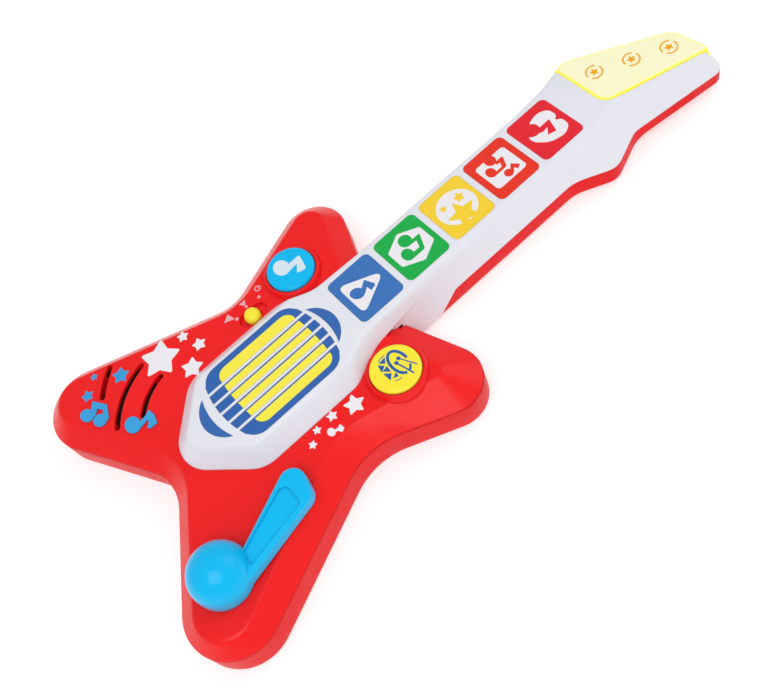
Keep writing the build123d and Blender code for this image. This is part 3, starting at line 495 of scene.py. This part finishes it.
# ---------------------------------------------------------------- rubber domes
def soft_dome(side):
    """A copy of the dome's mesh on the guitar body, standing for the rigid CAD node, which is hidden."""
    node = "rubber_dome_" + side
    obj = bpy.data.objects.new("soft_dome_" + side, NODES[node].data.copy())
    scene.collection.objects.link(obj)
    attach(obj, "guitar")
    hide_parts(node)
    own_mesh(obj)


soft_dome("blue")
soft_dome("yellow")

# ---------------------------------------------------------------- prints
ink_white = ink("ink_white", INK_WHITE)
ink_star_blue = ink("ink_star_blue", (0.04, 0.34, 0.70))
ink_pale = ink("ink_pale", (0.70, 0.82, 0.90))
ink_drum = ink("ink_drum", (0.02, 0.12, 0.42))
ink_amber = ink("ink_amber", (0.90, 0.42, 0.015))
ink_pink = ink("ink_pink", (0.86, 0.42, 0.48))
ink_pads = {name: ink("ink_" + name, value, 0.3) for name, value in PAD_COLOURS.items()}

film(
    "print_stars_white",
    [
        star(-63.8, -43.6, 13.3, 0, 0.56),
        star(-44.0, -33.2, 7.4, 0, 0.56),
        star(-53.4, -21.2, 4.8, 20, 0.56),
        star(-65.4, -25.3, 4.0, 10, 0.56),
        star(45.1, 18.4, 6.8, 86),
        star(41.1, 5.4, 3.7, 90),
        star(41.5, -5.8, 2.9, 75),
        star(46.5, -12.8, 2.9, 60),
    ],
    FACE_Z,
    ink_white,
    "guitar",
)
film(
    "print_stars_blue",
    [
        star(-73.6, -67.1, 5.9, 2, 0.56),
        star(-85.4, -79.6, 2.6, 10, 0.56),
        star(-77.8, -89.3, 4.3, 20, 0.56),
    ],
    FACE_Z,
    ink_star_blue,
    "guitar",
)
film(
    "print_note_white",
    [
        oval(48.2, -0.9, 2.7, 2.2),
        rounded(
            [
                (50.6, -0.6), (50.0, 2.0), (52.6, 3.4), (51.6, 5.8),
                (48.0, 5.4), (48.8, 3.4), (48.6, 0.4),
            ],
            0.4,
        ),
    ],
    FACE_Z,
    ink_white,
    "guitar",
)
# beside the slide switch: off, quiet, loud
film(
    "print_switch_symbols",
    [
        arc(-56.4, 26.0, 1.7, 120, 420, 0.75),
        stroke([(-56.4, 26.2), (-56.4, 28.5)], 0.75),
        oval(-51.0, 23.0, 1.0),
        [(-56.1, 16.0), (-56.1, 11.3), (-52.4, 13.65)],
        oval(-51.6, 13.7, 0.9),
        [(-56.3, 2.6), (-50.4, 3.9), (-53.0, -2.4)],
        oval(-49.3, 4.7, 1.1),
    ],
    FACE_Z,
    ink_pink,
    "guitar",
)


def note_on_pad(name, index, white_shapes, ink_shapes, colour):
    """White figure and coloured notes on one fret pad; the points are about the pad's centre."""
    y = MIDDLE_PAD_Y + (index - 2) * PAD_PITCH
    field = [shifted(s, 0, y) for s in white_shapes]
    film(name + "_field", field, TOP_Z, ink_white, "guitar")
    film(
        name + "_notes",
        [shifted(s, 0, y) for s in ink_shapes],
        TOP_Z,
        ink_pads[colour],
        "guitar",
        lift=FILM_OVER,
    )


note_on_pad(
    "icon_triangle",
    0,
    [rounded([(-0.2, 14.1), (-12.3, -11.1), (13.1, -11.1)], 3.4)],
    [
        oval(-0.4, -5.6, 4.4, 3.7, 41),
        rounded(
            [
                (-4.3, 2.8), (2.0, 5.4), (3.2, 5.0), (4.2, 1.2),
                (0.4, 1.0), (2.9, -2.2), (3.6, -5.2), (-0.8, -2.4),
            ],
            0.5,
        ),
    ],
    "blue",
)
note_on_pad(
    "icon_hexagon",
    1,
    [rounded([(-12.8, 0), (-6.4, 12.2), (6.4, 12.2), (12.8, 0), (6.4, -12.2), (-6.4, -12.2)], 1.8)],
    [
        oval(-5.6, 0.2, 4.4, 4.1),
        oval(2.5, -4.7, 4.4, 3.6),
        rounded(
            [
                (-3.3, 1.0), (-3.3, 9.2), (6.2, 5.0), (6.9, 3.8),
                (6.2, 2.2), (-1.0, 4.9), (-1.2, 0.5),
            ],
            0.6,
        ),
        rounded([(3.7, 3.6), (6.9, 4.2), (6.9, -4.8), (3.7, -3.5)], 0.5),
    ],
    "green",
)
note_on_pad(
    "icon_stars",
    2,
    [oval(0.2, 0.3, 12.1, 12.6, steps=72)],
    [
        star(6.4, 0.0, 10.4, 180, 0.46, 0.03),
        star(-3.9, 5.6, 4.0, 100, 0.5),
        star(-4.6, -6.1, 2.7, 80, 0.5),
    ],
    "yellow",
)
note_on_pad(
    "icon_square",
    3,
    [rounded([(-10.5, -11.2), (-10.5, 11.3), (10.5, 11.3), (10.5, -11.2)], 2.6)],
    [
        oval(-8.6, -0.6, 4.1, 3.5),
        oval(-1.8, -6.1, 3.7, 3.0),
        rounded(
            [
                (-5.4, 0.2), (-5.4, 5.8), (-4.4, 6.1), (1.7, 3.0),
                (1.9, 1.4), (-0.4, 1.0), (-3.1, 2.4), (-3.1, 0.0),
            ],
            0.5,
        ),
        rounded([(-0.1, 2.0), (1.9, 2.4), (1.9, -6.2), (-0.1, -5.0)], 0.4),
        oval(6.2, 0.5, 2.8, 2.7),
        rounded(
            [
                (2.2, 5.6), (6.6, 9.0), (8.2, 6.0), (5.6, 5.0),
                (7.8, 3.4), (9.0, 1.0), (4.6, 1.6), (5.0, 3.0),
            ],
            0.35,
        ),
    ],
    "orange",
)

HEART_HALF = [(2.2, 11.8), (8.6, 11.6), (11.9, 5.4), (9.6, -4.4)]
heart = HEART_HALF + [(0.0, -12.2)] + [(-x, y) for x, y in HEART_HALF[::-1]] + [(0.0, 8.4)]

note_on_pad(
    "icon_heart",
    4,
    [rounded(heart, 30)],
    [
        oval(-5.0, -5.3, 4.8),
        oval(-8.2, -6.6, 4.2),
        rounded(
            [
                (-3.1, -1.6), (-3.1, 6.8), (6.1, 3.7), (4.6, -1.6),
                (0.3, 2.2), (0.8, -1.8), (-0.2, -4.0),
            ],
            0.3,
        ),
    ],
    "crimson",
)

# ---------------------------------------------------------------- round buttons
note = [
    oval(-4.1, -3.4, 5.8, 4.8),
    rounded(
        [
            (-2.9, -3.0), (-2.9, 8.9), (-1.7, 9.2), (6.9, 7.0), (7.6, 5.7),
            (6.2, 1.3), (5.2, 1.4), (0.8, 4.9), (1.7, -3.5),
        ],
        0.6,
    ),
]
drum = [
    arc(-1.0, 3.9, 8.1, 82, 350, 1.7, 40, 0.58),
    arc(-1.0, 3.9, 8.1, 6, 50, 1.3, 10, 0.58),
    oval(-2.9, 5.1, 1.2),
    stroke([(-2.9, 5.1), (7.4, 10.0)], 0.65),
    oval(-1.6, 2.5, 1.2),
    stroke([(-1.6, 2.5), (10.1, 5.3)], 0.9),
    rounded([(-9.0, 0.4), (-5.7, -2.0), (-8.6, -4.5)], 0.2),
    rounded([(-8.2, -5.6), (-5.1, -3.0), (-3.0, -6.9)], 0.2),
    rounded([(-4.0, -2.2), (0.2, -3.0), (-3.3, -6.1)], 0.2),
    rounded([(-2.0, -6.8), (1.2, -3.3), (4.1, -6.6)], 0.2),
    rounded([(2.4, -1.4), (5.4, -1.7), (4.1, -4.9)], 0.2),
    stroke([(-10.1, 0.9), (-10.2, -1.7), (-9.4, -4.1)], 0.5),
    stroke([(7.1, -0.9), (7.1, -3.1), (6.0, -5.2)], 0.5),
]
for name, shapes, x, tint, body, slot in (
    ("icon_button_note", note, -BUTTON_X, ink_pale, "blue_button", "sky_blue"),
    ("icon_button_drum", drum, BUTTON_X, ink_drum, "yellow_button", "button_yellow"),
):
    film(name, [shifted(shape, x, BUTTON_Y) for shape in shapes], CAP_Z, tint, body)

# ---------------------------------------------------------------- thin lines beside the strings
film(
    "print_string_edges",
    [stroke([(i * STRING_PITCH + 1.45, y) for y in STRING_ENDS], 0.85) for i in range(-2, 3)],
    TOP_Z,
    finishes["pickup_frame"],
    "guitar",
)

# ---------------------------------------------------------------- marks on the head lens
marks = []
for x, y in LENS_MARKS:
    marks.append(star(x, y, 3.0, 95))
    marks.append(arc(x, y, 4.9, -60, 100, 1.0, 20))
    marks.append(arc(x, y, 4.9, 130, 270, 1.0, 20))
film("icon_lens_stars", marks, TOP_Z, ink_amber, "guitar")

# ---------------------------------------------------------------- floor, light and camera
floor_mesh = bpy.data.meshes.new("floor")
floor_corners = [(x * FLOOR_HALF, y * FLOOR_HALF, 0) for x, y in ((-1, -1), (1, -1), (1, 1), (-1, 1))]
floor_mesh.from_pydata(floor_corners, [], [(0, 1, 2, 3)])
floor = bpy.data.objects.new("floor", floor_mesh)
scene.collection.objects.link(floor)
floor.location.z = -FLOOR_DROP
ground = Graph("floor_pale")
haze = ground.noise(3, 2)
ground.set(Base_Color=ground.mix(haze, (0.60, 0.60, 0.605), (0.62, 0.62, 0.62)), Roughness=0.9)
ground.set(Emission_Color=(1.0, 1.0, 1.0, 1.0), Emission_Strength=0.5)
floor_mesh.materials.append(ground.material)

world = bpy.data.worlds.new("studio")
scene.world = world
world.use_nodes = True
background = world.node_tree.nodes["Background"]
background.inputs["Color"].default_value = (1.0, 1.0, 1.0, 1.0)
background.inputs["Strength"].default_value = 0.62


def softbox(name, place, aim, size, power):
    """Square soft light at place, turned to aim; size in metres, power in watts."""
    data = bpy.data.lights.new(name, "AREA")
    data.shape = "SQUARE"
    data.size = size
    data.energy = power
    light = bpy.data.objects.new(name, data)
    scene.collection.objects.link(light)
    light.location = place
    light.rotation_mode = "QUATERNION"
    light.rotation_quaternion = (Vector(aim) - Vector(place)).to_track_quat("-Z", "Y")


softbox("key", (0.5, -0.35, 1.2), (0.0, 0.05, 0.03), 0.9, 6.5)
softbox("fill", (0.1, 1.2, 0.9), (0.0, 0.1, 0.03), 0.9, 3.0)

camera_data = bpy.data.cameras.new("camera")
camera_data.sensor_fit = "HORIZONTAL"
camera_data.sensor_width = 36.0
camera_data.lens = FOCAL_LENGTH
camera_data.clip_start = 0.01
camera = bpy.data.objects.new("camera", camera_data)
scene.collection.objects.link(camera)
right = Vector(CAMERA_RIGHT).normalized()
up = Vector(CAMERA_UP).normalized()
back = right.cross(up).normalized()
up = back.cross(right).normalized()
turn = Matrix((right, up, back)).transposed().to_4x4()
camera.matrix_world = Matrix.Translation(CAMERA_PLACE) @ turn
scene.camera = camera
scene.view_settings.view_transform = "Standard"
